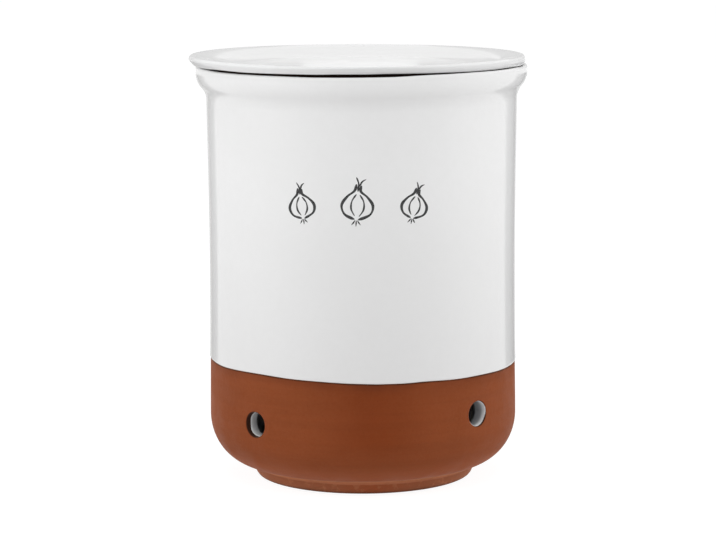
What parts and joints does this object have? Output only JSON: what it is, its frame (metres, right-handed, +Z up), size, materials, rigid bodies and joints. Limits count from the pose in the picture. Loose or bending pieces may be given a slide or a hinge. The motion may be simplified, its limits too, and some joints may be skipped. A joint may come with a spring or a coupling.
{
  "type": "onion keeper",
  "caption": "Vented terracotta storage pot, half dipped in white glaze, with a flared rim, a low foot and a loose dished lid, for keeping onions dark and aired.",
  "frame": {"origin": "centre of the foot's resting face, on the pot's axis", "axes": "+Z up along the pot's axis; the vents look along X and Y, so the pot's front lies between +X and -Y"},
  "size_m": [0.1747, 0.1745, 0.2208],
  "materials": {
    "terracotta": "bare fired clay, matt",
    "white_glaze": "glossy white glaze"
  },
  "bodies": {
    "pot": {"clay_pot": "terracotta", "outer_glaze": "white_glaze", "inner_glaze": "white_glaze"},
    "lid": {"clay_lid": "terracotta", "lid_glaze": "white_glaze", "lid_inner_glaze": "white_glaze"}
  },
  "joints": [
    {"name": "lid_lift", "type": "slide", "parent": "pot", "child": "lid", "axis": [0, 0, 1], "range_m": [0, 0.12]}
  ]
}
